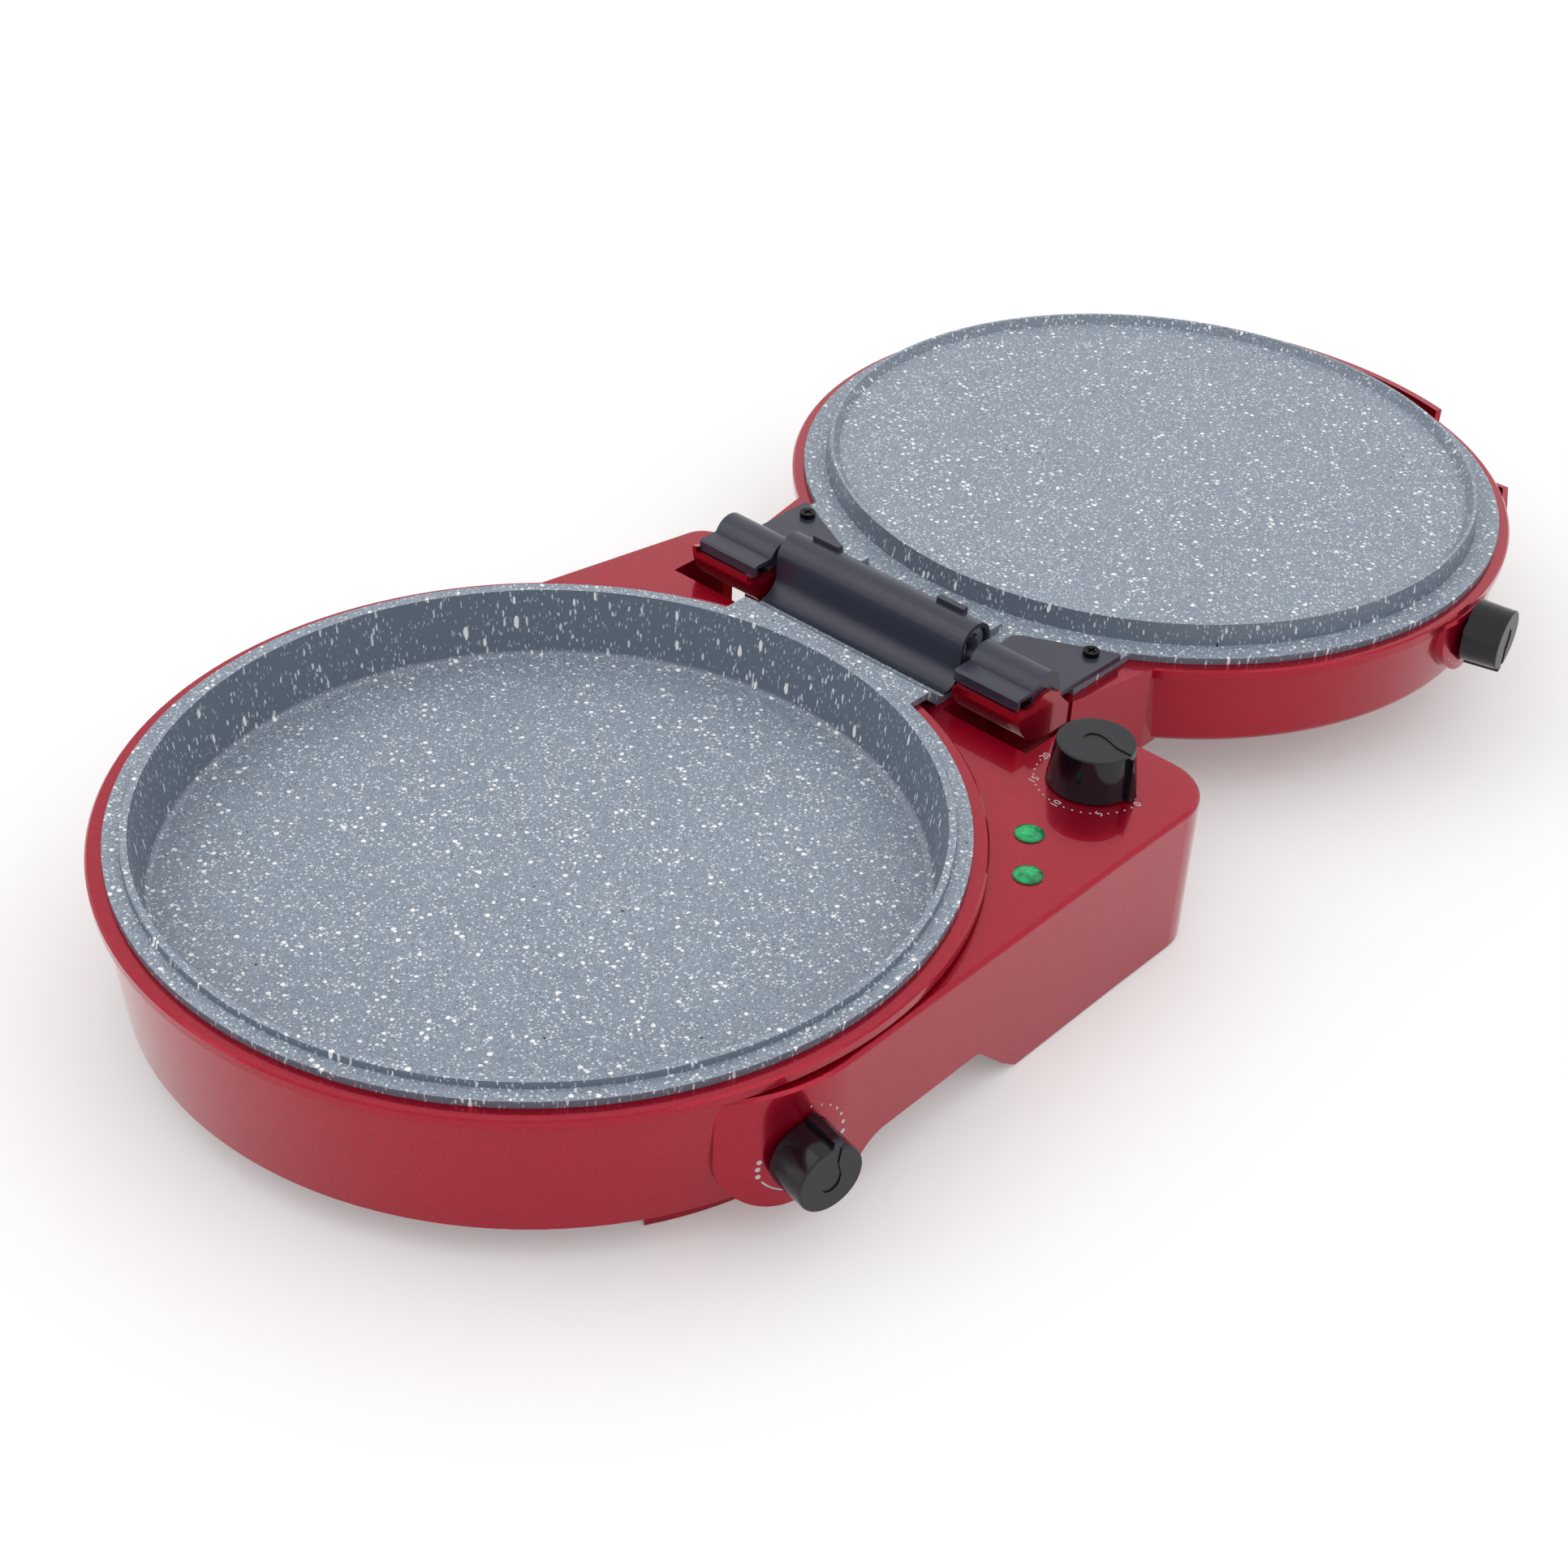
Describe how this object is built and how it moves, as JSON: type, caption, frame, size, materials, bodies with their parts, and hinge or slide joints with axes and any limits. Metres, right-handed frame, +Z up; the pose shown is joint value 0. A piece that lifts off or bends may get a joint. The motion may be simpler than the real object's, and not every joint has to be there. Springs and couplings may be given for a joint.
{
  "type": "electric pizza maker",
  "caption": "Electric pizza maker lying open: deep non-stick pan in a red base with timer, lamps and thermostat, and a hinged red lid with its own plate and thermostat.",
  "frame": {"origin": "on the table under the middle of the opened appliance's bounding box", "axes": "+Z up, -Y towards the user, +Y from the base to the opened lid, +X to the user's right, where the controls are"},
  "size_m": [0.3637, 0.7474, 0.1],
  "materials": {
    "red_plastic": "metallic red lacquer, glossy",
    "cast_nonstick": "grey non-stick coating with light specks, satin",
    "black_satin": "satin black",
    "black_matte": "matt black",
    "knob_black": "gloss sides, satin face",
    "green_lens": "clear green, faceted",
    "lamp_glass": "clear",
    "element_steel": "heat-darkened",
    "shield_aluminium": "rolled sheet",
    "screw_steel": "zinc plated",
    "dark_screw_steel": "blackened",
    "control_ceramic": "moulded phenolic, unglazed look",
    "foot_rubber": "matt"
  },
  "bodies": {
    "base": {"base_housing": "red_plastic", "lower_pan": "cast_nonstick", "lower_heating_element": "element_steel", "lower_heat_shield": "shield_aluminium", "lower_shield_screws": "screw_steel", "lower_thermostat": "control_ceramic", "timer_movement": "shield_aluminium", "indicator_lenses": "green_lens", "neon_lamps": "lamp_glass", "terminal_block": "control_ceramic", "cord_gland": "black_matte", "bottom_cover": "black_matte", "bottom_screws": "screw_steel", "rubber_pads": "foot_rubber", "centre_hinge_cover": "black_satin"},
    "pin": {"hinge_pin": "screw_steel", "pin_clips": "dark_screw_steel"},
    "lid": {"lid_housing": "red_plastic", "upper_plate": "cast_nonstick", "hinge_cover_left": "black_satin", "hinge_cover_right": "black_satin", "plate_screws": "dark_screw_steel", "lid_handle": "red_plastic", "upper_heating_element": "element_steel", "upper_heat_shield": "shield_aluminium", "upper_shield_screws": "screw_steel", "upper_thermostat": "control_ceramic"},
    "timer": {"timer_knob": "knob_black", "timer_shaft": "screw_steel"},
    "lower_control": {"lower_thermostat_knob": "knob_black", "lower_thermostat_shaft": "screw_steel"},
    "upper_control": {"upper_thermostat_knob": "knob_black", "upper_thermostat_shaft": "screw_steel"}
  },
  "joints": [
    {"name": "hinge_float", "type": "slide", "parent": "base", "child": "pin", "axis": [0, 0, 1], "range_m": [0, 0.006]},
    {"name": "lid_hinge", "type": "hinge", "parent": "pin", "child": "lid", "pos_m": [-0.011, -0.0042, 0.0828], "axis": [1, 0, 0], "range_deg": [0, 180]},
    {"name": "timer_turn", "type": "hinge", "parent": "base", "child": "timer", "pos_m": [0.1186, -0.0238, 0.0685], "axis": [0, 0, -1], "range_deg": [0, 180]},
    {"name": "lower_thermostat_turn", "type": "hinge", "parent": "base", "child": "lower_control", "pos_m": [0.159, -0.2402, 0.0385], "axis": [-0.9816, 0.1908, 0], "range_deg": [0, 270]},
    {"name": "upper_thermostat_turn", "type": "hinge", "parent": "lid", "child": "upper_control", "pos_m": [0.1619, 0.2033, 0.061], "axis": [-0.9848, -0.1736, 0], "range_deg": [0, 270]}
  ]
}
